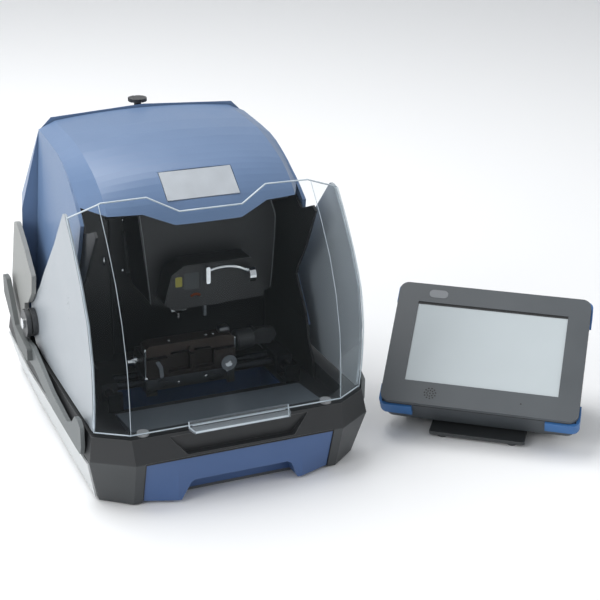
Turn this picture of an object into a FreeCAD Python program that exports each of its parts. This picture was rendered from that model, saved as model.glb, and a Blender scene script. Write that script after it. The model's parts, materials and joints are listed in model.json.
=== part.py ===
import FreeCAD, Part
import os
import re
import Sketcher
from FreeCAD import Placement, Rotation, Vector

# A bench key duplicating machine with its separate control console.
# Frame: X to the machine's right, Y to its rear, Z up, origin in the middle of
# the underside. All lengths are millimetres.

doc = FreeCAD.newDocument("key_duplicating_machine")
sheet = doc.addObject("Spreadsheet::Sheet", "sizes")

SIZES = {
    # base housing
    "base_half": 150, "base_front": 212, "base_rear": 185, "base_top": 76,
    "crease_z": 51, "nose_half": 111, "plate_thick": 3, "floor_z": 60,
    # hood and rear cover
    "hood_half": 118, "shoulder_half": 100, "hood_split_y": 87, "shell_wall": 3.5,
    "hood_rise": 330.5, "rear_half": 141,
    # shield
    "pivot_y": 43, "pivot_z": 110, "pin_radius": 5, "pane": 3, "pane_half": 112,
    "cheek_in": 140.6, "knob_radius": 15.5, "knob_length": 12,
    # drawer
    "drawer_half": 100, "drawer_top": 51, "drawer_depth": 168, "drawer_wall": 2.5,
    # work head and clamp
    "tool_x": -13, "probe_x": 18, "jaw_gap": 2.5, "rail_radius": 6, "carriage_z": 66,
    # console
    "console_x": 303.8, "console_y": -167.6, "console_z": 90.1, "console_yaw": -37.5,
    "console_wide": 213, "console_high": 149, "console_tilt": 39,
}


def fill_sheet():
    """Write every driving dimension to the sheet as plain text with an alias."""
    for row, (alias, value) in enumerate(SIZES.items(), start=1):
        sheet.set("A%d" % row, alias)
        sheet.set("B%d" % row, str(value))
        sheet.setAlias("B%d" % row, alias)
    doc.recompute()


fill_sheet()
WORD = re.compile(r"\b(%s)\b" % "|".join(SIZES))


def size(alias):
    """Value of one sheet cell."""
    return float(sheet.get(alias))


def formula(value):
    """Expression text in which every alias points at the sheet."""
    return WORD.sub(r"sizes.\1", str(value))


def number(value):
    """The present value of an expression made of aliases, + - * / and numbers."""
    return float(sheet.evalExpression(formula(value)))


def bind(obj, prop, value):
    obj.setExpression(prop, formula(value))


def put(obj, x, y, z):
    """Bind an object's position."""
    for prop, value in zip("xyz", (x, y, z)):
        bind(obj, "Placement.Base." + prop, value)


# ---------------------------------------------------------------- simple solids
AXIS_TURN = {
    "x": Rotation(Vector(0, 1, 0), 90),
    "y": Rotation(Vector(1, 0, 0), -90),
    "z": Rotation(),
}
PLANES = {"xy": "XY_Plane", "xz": "XZ_Plane", "yz": "YZ_Plane"}


def box(name, x0, x1, y0, y1, z0, z1):
    """Block between three pairs of limits."""
    part = doc.addObject("Part::Box", name)
    bind(part, "Length", "(%s)-(%s)" % (x1, x0))
    bind(part, "Width", "(%s)-(%s)" % (y1, y0))
    bind(part, "Height", "(%s)-(%s)" % (z1, z0))
    put(part, x0, y0, z0)
    return part


def rod(name, radius, length, x, y, z, axis="z"):
    """Cylinder that starts at a point and runs along an axis."""
    part = doc.addObject("Part::Cylinder", name)
    part.Placement.Rotation = AXIS_TURN[axis]
    bind(part, "Radius", radius)
    bind(part, "Height", length)
    put(part, x, y, z)
    return part


def cone(name, radius_1, radius_2, length, x, y, z, axis="z"):
    part = doc.addObject("Part::Cone", name)
    part.Placement.Rotation = AXIS_TURN[axis]
    bind(part, "Radius1", radius_1)
    bind(part, "Radius2", radius_2)
    bind(part, "Height", length)
    put(part, x, y, z)
    return part


def cut(name, base, *tools):
    """Base less each tool in turn."""
    for index, tool in enumerate(tools):
        step = doc.addObject("Part::Cut", name if index == len(tools) - 1 else name + "_cut")
        step.Base = base
        step.Tool = tool
        base = step
    return base


def fuse(name, *parts):
    whole = doc.addObject("Part::MultiFuse", name)
    whole.Shapes = list(parts)
    whole.Refine = True
    return whole


def group(name, *parts):
    """Identical pieces kept as separate solids in one node."""
    whole = doc.addObject("Part::Compound", name)
    whole.Links = list(parts)
    return whole


def mirror(name, part):
    """Copy of a part on the other side of the machine's middle plane."""
    twin = doc.addObject("Part::Mirroring", name)
    twin.Source = part
    twin.Base = Vector(0, 0, 0)
    twin.Normal = Vector(1, 0, 0)
    return twin


# ---------------------------------------------------------------- sketched solids
def origin_plane(body, plane):
    return next(f for f in body.Origin.OriginFeatures if f.Role == PLANES[plane])


def outline(body, name, plane, points, offset):
    """Closed polygon through points, each coordinate bound by an expression."""
    sketch = body.newObject("Sketcher::SketchObject", name)
    sketch.AttachmentSupport = (origin_plane(body, plane), [""])
    sketch.MapMode = "FlatFace"
    bind(sketch, "AttachmentOffset.Base.z", offset)
    spots = [Vector(number(u), number(v), 0) for u, v in points]
    for index, start in enumerate(spots):
        sketch.addGeometry(Part.LineSegment(start, spots[(index + 1) % len(spots)]))
    for index, (u, v) in enumerate(points):
        before = (index - 1) % len(spots)
        sketch.addConstraint(Sketcher.Constraint("Coincident", before, 2, index, 1))
    for index, (u, v) in enumerate(points):
        for kind, value, now in (("DistanceX", u, spots[index].x), ("DistanceY", v, spots[index].y)):
            place = sketch.addConstraint(Sketcher.Constraint(kind, -1, 1, index, 1, now))
            sketch.setExpression("Constraints[%d]" % place, formula(value))
    return sketch


def along(shape, axis, where=None):
    """Names of a shape's straight edges that run along an axis."""
    names = []
    for index, edge in enumerate(shape.Edges, start=1):
        if edge.Curve.TypeId != "Part::GeomLine":
            continue
        run = edge.tangentAt(edge.FirstParameter)
        if abs(getattr(run, axis)) > 0.999 and (where is None or where(edge.CenterOfMass)):
            names.append("Edge%d" % index)
    return names


def slab(name, plane, points, low, high, rounding=0, where=None):
    """Body whose outline in one plane is padded between two limits across it.

    Outline coordinates are (x, y), (x, z) or (y, z). Edges across the slab are
    rounded where a radius is given.
    """
    body = doc.addObject("PartDesign::Body", name)
    flip = plane == "xz"
    sketch = outline(body, name + "_outline", plane, points, "-(%s)" % high if flip else low)
    pad = body.newObject("PartDesign::Pad", name + "_pad")
    pad.Profile = sketch
    bind(pad, "Length", "(%s)-(%s)" % (high, low))
    doc.recompute()
    if rounding:
        across = {"xy": "z", "xz": "y", "yz": "x"}[plane]
        fillet = body.newObject("PartDesign::Fillet", name + "_fillet")
        fillet.Base = (pad, along(pad.Shape, across, where))
        bind(fillet, "Radius", rounding)
        doc.recompute()
    return body


def pocket(body, plane, points, low, high):
    """Cut an outline out of a body between two limits across its plane."""
    doc.recompute()
    before = body.Shape.Volume
    name = "%s_hole_%d" % (body.Name, len(body.Group))
    flip = plane == "xz"
    sketch = outline(body, name, plane, points, "-(%s)" % low if flip else high)
    hole = body.newObject("PartDesign::Pocket", name + "_pocket")
    hole.Profile = sketch
    bind(hole, "Length", "(%s)-(%s)" % (high, low))
    doc.recompute()
    assert body.Shape.Volume < before - 1, name
    return body


def loft(name, plane, stations, ruled=True):
    """Body lofted through outlines, each given as (place across the plane, points)."""
    body = doc.addObject("PartDesign::Body", name)
    flip = plane == "xz"
    sketches = []
    for index, (place, points) in enumerate(stations):
        offset = "-(%s)" % place if flip else place
        sketches.append(outline(body, "%s_%d" % (name, index), plane, points, offset))
    skin = body.newObject("PartDesign::AdditiveLoft", name + "_loft")
    skin.Profile = sketches[0]
    skin.Sections = sketches[1:]
    skin.Ruled = ruled
    doc.recompute()
    return body


def both_sides(half_points):
    """Symmetric outline from its right half, listed from the bottom up."""
    left = [("-(%s)" % u, v) for u, v in reversed(half_points) if str(u) != "0"]
    return half_points + left


def rectangle(u0, u1, v0, v1):
    return [(u0, v0), (u1, v0), (u1, v1), (u0, v1)]


NODES = []


def node(part, label=None):
    """Keep a finished sub-part. Its label is the node's name."""
    if label is None:
        label = part.Name
    elif part.Name != label:
        for other in doc.getObjectsByLabel(label):
            other.Label = label + "_blank"
    part.Label = label
    NODES.append(part)
    return part


def nodes(*parts):
    for part in parts:
        node(part)


def pair(part, label=None):
    """Keep a right-hand part named *_right and add its left-hand mirror image."""
    right = node(part, label)
    left = right.Label.replace("_right", "_left")
    node(mirror(left, part))


def twins(name, part):
    """One node that holds a right-hand fixed part and its mirror image as two solids."""
    node(group(name, part, mirror(name + "_left", part)))


# ---------------------------------------------------------------- base housing
def plan(front, nose, facet_x, facet_y, side, rear_x, rear):
    """Base outline seen from above: chamfered front corners, small rear chamfers."""
    return both_sides([(nose, "-(%s)" % front), (facet_x, "-(%s)" % facet_y), (side, 60),
                       (rear_x, "%s-9" % rear), ("%s-10" % rear_x, rear)])


def base_shell():
    """Ring-shaped housing whose front leans out to a crease and back in again."""
    sole = plan("base_front-15", "nose_half-1", "base_half-11", 174, "base_half-14", "base_half-18", "base_rear-2")
    crease = plan("base_front", "nose_half", "base_half", 186, "base_half", "base_half-4", "base_rear")
    brim = plan("base_front-9", "nose_half+1", "base_half-4", 181, "base_half-4", "base_half-8", "base_rear-1")
    hollow = plan(187, "nose_half-7", "base_half-21", 168, "base_half-22", "base_half-26", "base_rear-10")
    shell = loft("base_shell", "xy", [(1.5, sole), ("crease_z", crease), ("base_top", brim)])
    pocket(shell, "xy", hollow, 0, "base_top+1")
    mouth = rectangle("-drawer_half-1", "drawer_half+1", -1, "drawer_top+0.8")
    pocket(shell, "xz", mouth, "-base_front-2", -185)
    pocket(shell, "xz", [(-57, 54), (57, 54), (74, 73), (-74, 73)], "-base_front-2", "-base_front+9")
    node(shell)


def base_plates():
    """Bottom plate that the machine stands on, and the chamber floor with its chip slot."""
    inside = plan(186.6, "nose_half-7.4", "base_half-21.4", 167.6, "base_half-22.4", "base_half-26.4",
                  "base_rear-10.4")
    bottom = slab("bottom_plate", "xy", inside, 0, "plate_thick")
    floor = slab("chamber_floor", "xy", inside, "floor_z-4", "floor_z")
    pocket(floor, "xy", rectangle(-92, 92, -104, -30), "floor_z-6", "floor_z+2")
    apron = slab("front_apron", "yz", [(-186, "floor_z+0.2"), (-112, "floor_z+0.2"), (-118, "floor_z+3"),
                                       (-186, "base_top-5")], -102, 102)
    nodes(floor, apron)
    corners = [(x, y) for x in (-112, 112) for y in (-150, 160)]
    wells = [rod("foot_well", 11, "plate_thick+2", x, y, -1) for x, y in corners]
    feet = [rod("foot", 10.8, "plate_thick-0.6", x, y, 0) for x, y in corners]
    node(cut("bottom_bored", bottom, *wells), "bottom_plate")
    node(group("feet", *feet))


def rest_pads():
    """Two pads on the front rim that the closed shield rests on."""
    pads = [rod("rest_pad", 6, 3.2, x, "-base_front+17", "base_top") for x in (-98, 98)]
    nodes(group("rest_pads", *pads))


def side_pieces():
    """Light lower skirt, dark rail with its front ear, rear upright and carrying grip."""
    skirt = loft("skirt_right", "xy", [
        (3, [(139.6, -170), (141.6, -170), (139.4, 60), (135.6, 172), (133.6, 172), (137.2, 60)]),
        (47, [(149.3, -182), (151.4, -182), (151.4, 60), (147.4, 172), (145.4, 172), (149.3, 60)]),
    ])
    rail = slab("rail_right", "yz", [
        (-168, 52), (-172, 61), (-172, 82), (-163, 87.5), (-151, 86), (-140, 75), (-120, 66),
        (-62, 72), (-23, 82), (17, 92), (58, 88), (58, 66), (17, 68), (-60, 53), (-150, 51.5)], 150.2, 154.4, 2.5)
    arm = slab("arm_right", "yz", [
        (21, 171), (26, 150), (46, 132), (64, 125), (68, 77.2), (119, 77.2), (119, 138), (91, 211), (79, 214),
        (48, 193)], 145, 150, 3)
    grip = slab("grip_right", "yz", [
        (121, 141), (104, 141), (88, 118), (72, 96), (20, 88.5), (20, 73), (62, 73), (121, 118)], 154.6, 160, 4)
    bracket = slab("pivot_bracket_right", "yz", [
        (18, "base_top+0.2"), (68, "base_top+0.2"), (62, 118), (50, 126), (36, 126), (26, 118)], 133.2, 139.8, 4)
    bore = rod("bracket_bore", "pin_radius", 10, 132, "pivot_y", "pivot_z", "x")
    twins("skirts", skirt)
    twins("rails", rail)
    twins("uprights", arm)
    twins("grips", grip)
    twins("pivot_brackets", cut("pivot_bracket_right_bored", bracket, bore))


def rear_pieces():
    """Closed back with louvres, the mains inlet and its rocker switch."""
    outline_back = rear_section(20.2, 24.8, size("shell_wall") + 0.4)
    panel = slab("rear_panel", "xz", outline_back, "base_rear-11", "base_rear-8")
    for row in range(6):
        pocket(panel, "xz", rectangle(-70, 70, 176 + 12 * row, 181 + 12 * row), "base_rear-13", "base_rear-6")
    pocket(panel, "xz", rectangle(-104, -76, 92, 112), "base_rear-13", "base_rear-6")
    pocket(panel, "xz", rectangle(-64, -50, 91, 113), "base_rear-13", "base_rear-6")
    inlet = slab("power_inlet", "xz", rectangle(-103.8, -76.2, 92.2, 111.8), "base_rear-32", "base_rear-6", 4)
    pocket(inlet, "xz", rectangle(-101, -79, 95, 109), "base_rear-26", "base_rear-5")
    rocker = slab("power_rocker", "yz", [
        ("base_rear-14", 92), ("base_rear-5.5", 93), ("base_rear-7.5", 102), ("base_rear-5.5", 111),
        ("base_rear-14", 112)], -63.4, -50.6)
    nodes(panel, inlet, rocker)


# ---------------------------------------------------------------- hood and rear cover
# Hood outlines (y, z) from the front lip over the top, at three distances from the middle.
HOOD_MIDDLE = [(-122, 260), (-113, 274), (-103, 286), (-84, 301), (-56, 312), (0, 323), (87, 327)]
HOOD_SHOULDER = [(-113, 260), (-105, 272), (-95, 282), (-79, 293), (-54, 304), (0, 317), (87, 321)]
HOOD_EDGE = [(-84, 258), (-73, 267), (-62, 275), (-50, 282), (-31, 293), (8, 307), (87, 313)]
# Front edge of the hood's side, from its foot up.
HOOD_CHEEK = [(-80, 112), (-70, 131), (-50, 167), (-54, 178), (-66, 200), (-78, 230)]


def smooth(points, parts=3):
    """Catmull-Rom curve through points, with each stretch between two of them in equal parts."""
    ends = [points[0]] + points + [points[-1]]
    curve = []
    for before, start, stop, after in zip(ends, ends[1:], ends[2:], ends[3:]):
        for step in range(parts):
            t = step / parts
            curve.append(tuple(round(0.5 * (2 * b + (c - a) * t + (2 * a - 5 * b + 4 * c - d) * t ** 2
                                            + (3 * b - a - 3 * c + d) * t ** 3), 2)
                               for a, b, c, d in zip(before, start, stop, after)))
    return curve + [points[-1]]


def hood_outline(top, inset):
    """Closed (y, z) outline: open rear edge, curved lower front, then the top."""
    rear = "hood_split_y+%s" % (inset * 2)
    low = 112 - inset * 2
    lower = [(y + inset, z - inset * 2 if z == 112 else z) for y, z in HOOD_CHEEK]
    upper = [(y + inset if y < 80 else rear, z - inset) for y, z in smooth(top)]
    return [(rear, low)] + lower + upper


def hood_volume(name, inset):
    """Hood as one block: crowned middle, sloping shoulders, sides flared outwards below."""
    shoulder = "shoulder_half-%s" % (inset / 2)
    edge = "hood_half-%s" % inset
    between = [(y + 1, z - 1.5) if y < 80 else (y, z - 1.5) for y, z in HOOD_MIDDLE]
    quarter = hood_outline(between, inset)
    side_top = hood_outline(HOOD_EDGE, inset)
    shoulder_top = hood_outline(HOOD_SHOULDER, inset)
    middle = loft(name + "_middle", "yz", [
        ("-(%s)" % shoulder, shoulder_top), (-50, quarter), (0, hood_outline(HOOD_MIDDLE, inset)), (50, quarter),
        (shoulder, shoulder_top)], False)
    band = loft(name + "_band", "yz", [(shoulder, shoulder_top), (edge, side_top)])
    side = slab(name + "_side", "yz", side_top, edge, 136)
    pocket(side, "xz", [
        (edge, 335), ("hood_half-%s" % inset, 316), ("hood_half+14.6-%s" % inset, 100), (140, 100),
        (140, 335)], -130, 110)
    bands = [middle, band, mirror(name + "_band_left", band), side, mirror(name + "_side_left", side)]
    return fuse(name, *bands)


def hood():
    """Thin cover with a stepped front lip and a shallow seat for the name plate."""
    opening = slab("hood_opening", "xz", both_sides([
        (0, 90), ("hood_half+15-shell_wall", 90), ("hood_half+2.7-shell_wall", 272), (66, 272), (35, 260.6),
        (0, 260.6)]), -150, -20)
    shell = cut("hood_shell", hood_volume("hood_outer", 0), hood_volume("hood_inner", size("shell_wall")), opening)
    seat = slab("plate_seat", "yz", [(-107, 280.2), (-77.2, 302.3), (-84, 311), (-114, 289)], -39.2, 39.2)
    plate = slab("name_plate", "yz", [(-106.4, 280.9), (-78, 301.9), (-78.8, 303), (-107.2, 282)], -38.4, 38.4)
    node(cut("hood_seated", shell, seat), "hood")
    node(plate)


def rear_section(shrink, drop, inset, low=77.2):
    """Outline (x, z) of the rear cover, from the base up to the crown."""
    return both_sides([
        ("rear_half+2-%s" % (shrink + inset), low), ("rear_half+2-%s" % (shrink + inset), 165),
        ("rear_half-%s" % (shrink + inset), 225.5 - drop / 2), (118 - shrink - inset, 311 - drop - inset / 2),
        (104 - shrink - inset / 2, 324.6 - drop - inset), ("0", "hood_rise-%s" % (drop + inset))])


def rear_cover():
    """Rear half of the casing, wider than the hood, with a front flange that closes the step."""
    wall = size("shell_wall")
    outer = loft("rear_outer", "xz", [("hood_split_y+1.5", rear_section(0, 0, 0)),
                                      ("base_rear-1", rear_section(22, 27, 0))])
    inner = loft("rear_inner", "xz", [("hood_split_y+4.5", rear_section(0, 0, wall, 67)),
                                      ("base_rear+4", rear_section(22, 27, wall, 67))])
    mouth = slab("rear_mouth", "xz", both_sides([
        (112, 60), (112, 116), (126, 116), (113, 297), (97, 312), (0, 319)]), "hood_split_y-1", "hood_split_y+6")
    bore = rod("knob_bore", 4.2, 30, -2, 102, 310)
    node(cut("rear_cover", outer, inner, mouth, bore))
    stem = rod("top_knob_stem", 4, 16, -2, 102, 316)
    disc = rod("top_knob_head", 10.5, 3.6, -2, 102, 330.8)
    flutes = [rod("top_knob_flute", 1.1, 3.6, x, y, 330.8)
              for x, y in ((-12.4, 102), (8.4, 102), (-2, 91.6), (-2, 112.4))]
    node(fuse("top_knob", stem, cut("top_knob_fluted", disc, *flutes)))


# ---------------------------------------------------------------- work chamber
# Front edge of the chamber's side wall, from the floor up and back along the hood (y, z).
LINER_EDGE = [(-108, 60.2), (-104, 80), (-92, 96), (-82, 131), (-62, 167), (-66, 175), (-92, 207.5), (-123, 258),
              (-116, 262), (-92, 252), (-84, 250), (-74, 257), (-62, 265), (-48, 274), (-28, 283)]


def chamber():
    """Black lining: back wall, side walls with their swept front edges, roof and ducts."""
    back = slab("liner_back", "xz", both_sides([
        (126.4, "floor_z+0.2"), (126.4, 120), (115.9, 284), (113, 286)]), 34, 37)
    wall = slab("liner_right", "xz", [
        (126.4, "floor_z+0.2"), (126.4, 120), (115.9, 284), (113.3, 284), (123.8, 120), (123.8, "floor_z+0.2")],
        -130, 33.8)
    ahead = [(-132, 58), (-108, 58)] + LINER_EDGE[1:] + [(-28, 290), (-132, 290)]
    pocket(wall, "yz", ahead, 108, 130)
    roof = slab("liner_roof", "yz", [(34, 283), (34, 286), (-58, 286), (-92, 266), (-90, 264), (-57, 283)], -98, 98)
    pocket(roof, "xy", rectangle(-60, 60, -46, -34), 280, 290)
    duct = slab("duct_cover", "xy", rectangle(-109, -62, 20, 33.8), "floor_z+0.2", 282.8, 3,
                lambda spot: spot.y < 25)
    lamp = box("lamp_strip", -59.5, 59.5, -45.5, -34.5, 281, 284.5)
    nodes(fuse("liner", back, roof), duct, lamp)
    twins("liner_sides", wall)


def drives():
    """Hidden works behind the back wall: supply, control board and stage motors."""
    supply = slab("power_supply", "xz", rectangle(-110, -20, "floor_z+0.2", 130), 60, 150, 3)
    board = box("control_board", 0, 105, 120, 122, "floor_z+6", 180)
    chips = [box("board_chip", x, x + 16, 117, 120, z, z + 12) for x in (12, 42, 72) for z in (90, 126)]
    motors = [slab("stage_motor", "xz", rectangle(x - 21, x + 21, "floor_z+3", "floor_z+45"), 40, 78, 4)
              for x in (28, 82)]
    nodes(supply, fuse("controller", board, *chips), group("stage_motors", *motors))


def head():
    """Fixed head cover with guide rods, and everything that travels up and down on them."""
    cover = slab("head_cover", "xz", [(-35, 139), (104, 139), (110, 226), (99, 266), (-49, 266)], -31, 33.6, 7)
    pocket(cover, "xz", rectangle(-30, 96, 135, 252), -24, 30)
    pocket(cover, "xz", rectangle(-20, 66, 135, 190), -34, -22)
    rods = [rod("z_rod", 5, 112.3, x, 16, 139.5) for x in (10, 56)]
    block = slab("head_block", "xz", rectangle(-18, 64, 150, 196), -22, 27, 2)
    bores = [rod("block_bore", 5.05, 60, x, 16, 145) for x in (10, 56)]
    bridge = box("head_bridge", -10, 50, -34, -21, 156, 182)
    nose = slab("nose_cover", "xz", [
        (-30, 151), (-21, 184), (-7, 193), (69, 193), (80, 168), (84, 147), (30, 145), (-20, 145)], -62, -34, 5)
    motor = rod("spindle_motor", 17, 46, -6, -4, 196.2)
    collar = rod("spindle_collar", 9.5, 2, "tool_x+2", -52, 142.8)
    shaft = rod("bore_of_spindle", 4.05, 40, "tool_x+2", -52, 135)
    probe = rod("bore_of_probe", 2.05, 40, "probe_x+1", -52, 135)
    nodes(cover, group("z_rods", *rods))
    node(cut("head_carriage", fuse("head_block_whole", block, bridge), *bores))
    node(cut("nose_cover_bored", nose, shaft, probe), "nose_cover")
    node(cut("spindle_collar_bored", collar, rod("collar_bore", 4.05, 20, "tool_x+2", -52, 132)), "spindle_bushing")
    node(motor)


def tools():
    """Cutter in its winged collet, tracer pin, and the chrome lock lever."""
    shaft = rod("spindle_shaft", 4, 24, "tool_x+2", -52, 142.4)
    collet = cone("collet_nut", 3.2, 6.5, 5, "tool_x+2", -52, 137.6)
    wings = box("collet_wings", "tool_x-6", "tool_x+10", -54, -50, 139.4, 142.4)
    bit = rod("cutter_flutes", 1.5, 6.6, "tool_x+2", -52, 131)
    nodes(fuse("collet", collet, wings, shaft), bit)
    node(rod("tracer_pin", 2, 34, "probe_x+1", -52, 129.5))
    bar = slab("lever_bar", "xz", rectangle(13.5, 18, 174, 192.5), -74, -62.5, 1.5)
    arm = doc.addObject("Part::Torus", "lever_rod")
    bind(arm, "Radius1", LEVER["radius"])
    bind(arm, "Radius2", 2.2)
    bind(arm, "Angle3", LEVER["sweep"])
    arm.Placement.Rotation = Rotation(Vector(0, 1, 0), -LEVER["start"]) * Rotation(Vector(1, 0, 0), 90)
    put(arm, LEVER["x"], -71, LEVER["z"])
    disc = rod("lever_knob", 8.5, 7, 60.5, -72.2, 178, "x")
    node(fuse("tool_lever", bar, arm, disc))


# Arc of the lever's rod: centre, radius, first angle above the X axis and sweep.
LEVER = {"x": 32.85, "z": 136.35, "radius": 53.7, "start": 57.1, "sweep": 49}


def stage():
    """Cross slide under the clamp: two fixed rails fore and aft, two cross rails on blocks."""
    rails = [rod("y_rail", "rail_radius-1", 127.6, x, -108, 72, "y") for x in (-99, 99)]
    posts = []
    blocks = []
    for x in (-99, 99):
        post = box("rail_post", x - 8, x + 8, -107.8, -102, "floor_z+0.2", 80)
        block = box("y_block", x - 9, x + 9, -84, -44, "floor_z+2", 82)
        posts.append(cut("rail_post_bored", post, rod("post_bore", "rail_radius-1", 12, x, -110, 72, "y")))
        blocks.append(cut("y_block_bored", block, rod("y_block_bore", "rail_radius-0.95", 60, x, -90, 72, "y")))
    cross = [rod("x_rail", 4.5, 180, -90, y, 72, "x") for y in (-72, -54)]
    node(group("y_rails", *rails, *posts))
    nodes(group("y_blocks", *blocks), group("x_rails", *cross))


def clamp():
    """Steel carriage, lower jaw block with windows, rising upper jaw and its controls."""
    plate = slab("carriage_blank", "yz", [
        (-82, "carriage_z"), (-82, "carriage_z+13"), (-42, "carriage_z+13"), (-42, "carriage_z-3"),
        (-79, "carriage_z-3"), (-79, "carriage_z")], -59, 40)
    bores = [rod("carriage_bore", 4.55, 110, -62, y, 72, "x") for y in (-72, -54)]
    flanges = [box("carriage_flange", x, x + wide, -86, -82, z, "carriage_z+13")
               for x, wide, z in ((-59, 12, 60.6), (32, 8, 62))]
    node(cut("carriage", fuse("carriage_whole", plate, *flanges), *bores))
    body = slab("lower_jaw", "xz", [(-58, 79.2), (42, 79.2), (42, 101), (-58, 101)], -84, -42)
    upper = slab("upper_jaw", "xz", [
        (-57, "101+jaw_gap"), (41, "101+jaw_gap"), (41, 113), (37, 116), (-53, 116), (-57, 113)], -82, -62)
    for x0, x1, left, right in ((-34, -9, 8, 0), (-4, 18, 0, 8)):
        pocket(body, "xz", rectangle(x0, x1, 84, 103), -86, -76)
        pocket(upper, "xz", [(x0, 101), (x1, 101), (x1 - right, 110), (x0 + left, 110)], -86, -76)
    posts = [rod("jaw_post", 3, 22, x, -68, 90) for x in (-49, 33)]
    sockets = [rod("jaw_socket", 3.05, 30, x, -68, 85) for x in (-49, 33)]
    node(cut("lower_jaw_bored", body, *sockets), "lower_jaw")
    node(fuse("upper_jaw_whole", upper, *posts), "upper_jaw")
    ring = rod("jaw_knob_ring", 8.8, 8, 31.5, -92.4, 88, "y")
    node(cut("jaw_knob", ring, rod("jaw_knob_socket", 4.4, 5, 31.5, -93, 88, "y")))
    grip = rod("knurled_grip", 11, 20, 50, -60, 98, "x")
    hub = rod("handle_hub", 5, 8, 42.3, -60, 98, "x")
    flag = slab("handle_flag", "xz", [(69, 92), (69, 105), (76, 109), (95, 107.5), (98, 99), (91, 90)],
                -64, -56, 2)
    node(fuse("clamp_handle", grip, hub, flag))
    node(slab("release_lever", "xz", [
        (-49, 99.5), (-45, 100.5), (-41, 93.5), (-40, 81.5), (-44, 80.5), (-45, 91.5)], -87.4, -84.4, 1))
    shaft = rod("left_shaft_rod", 4, 13.7, -72, -60, 92, "x")
    disc = rod("left_shaft_disc", 7, 4, -66, -60, 92, "x")
    node(fuse("side_shaft", shaft, disc))


# ---------------------------------------------------------------- shield
PANE_STATIONS = [(79.5, -202, -181), (110, -201, -186), (150, -196.5, -187), (190, -184.5, -178),
                 (224, -168, -159), (258, -144, -134), (292, -115, -102)]


def shield():
    """Clear pane with chamfered corner facets, frosted cheeks, lip handle and pivot knobs."""
    stations = []
    for z, front, side in PANE_STATIONS:
        half = [("pane_half-1", "%s+pane" % front), ("cheek_in+3", "%s+pane+0.4" % side), ("cheek_in+3", side),
                ("pane_half", front)]
        stations.append((z, half + [("-(%s)" % x, y) for x, y in reversed(half)]))
    pane = loft("shield_window", "xy", stations, False)
    pocket(pane, "xz", both_sides([
        (0, 277), (33, 277), (63, 291), (109.5, 290.5), (125, 285), (150, 276), (150, 300), (0, 300)]), -220, -90)
    cheek = slab("shield_cheek_right", "yz", [
        (-177, 79.5), (-182, 110), (-183, 150), (-174, 190), (-155, 224), (-130, 257.4), (-109, 279.6),
        (-102, 279.6), (-59, 233), (-10, 186), (14, 161), (40, 141), (56, 130), (63, 112), (60, 94), (46, 83),
        (20, 79.5)], "cheek_in", "cheek_in+3")
    bore = rod("cheek_bore", "pin_radius+0.05", 10, 138, "pivot_y", "pivot_z", "x")
    handle = slab("shield_handle", "yz", [
        (-202.6, 78.4), (-202.6, 86), (-205, 86), (-205, 81), (-214.5, 79.4), (-214.5, 76.9)], -54, 53)
    for side in (-1, 1):
        pocket(handle, "xy", [(side * 55, -216), (side * 50, -216), (side * 55, -205.5)], 75, 88)
    node(pane)
    twins("shield_cheeks", cut("cheek_bored_right", cheek, bore))
    node(handle)
    pin = rod("pivot_pin", "pin_radius", 23.4, 133.2, "pivot_y", "pivot_z", "x")
    cap = rod("pivot_screw", 6, 2, 156.6, "pivot_y", "pivot_z", "x")
    twins("pivot_pins", fuse("pivot_bolt", pin, cap))
    knob = rod("pivot_disc", "knob_radius", "knob_length", 144.2, "pivot_y", "pivot_z", "x")
    waist = cut("pivot_waist", rod("waist_outer", "knob_radius+1", 2, 149.6, "pivot_y", "pivot_z", "x"),
                rod("waist_inner", "knob_radius-2.5", 4, 149, "pivot_y", "pivot_z", "x"))
    hole = rod("knob_hole", "pin_radius+0.05", 20, 143, "pivot_y", "pivot_z", "x")
    pair(cut("pivot_knob_right", knob, waist, hole))


# ---------------------------------------------------------------- chip drawer
def drawer():
    """Chip drawer: leaning front with an arched finger grip, and an open tray behind it."""
    corner, middle = [[(-211, "drawer_top-0.6"), (toe, 3.4), (-188, 3.4), (-188, "drawer_top-0.6")]
                      for toe in (-196.6, -208.6)]
    front = loft("drawer_front", "yz", [("-drawer_half", corner), (-67, middle), (67, middle),
                                        ("drawer_half", corner)])
    pocket(front, "xz", [(-66, -1), (64, -1), (55, 21), (50, 24), (-50, 24), (-54, 21)], -214, -186)
    tray = slab("drawer_tray", "xy", rectangle("-drawer_half+2", "drawer_half-2", -187.8, "-187.8+drawer_depth"),
                4, 46, 3)
    hollow = rectangle("-drawer_half+2+drawer_wall", "drawer_half-2-drawer_wall", "-187.8+drawer_wall",
                       "-187.8+drawer_depth-drawer_wall")
    pocket(tray, "xy", hollow, "4+drawer_wall", 48)
    runners = [box("drawer_runner", x, x + 2.4, -180, -30, 3.2, 14) for x in (-101.4, 99)]
    nodes(front, tray, group("drawer_runners", *runners))


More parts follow.
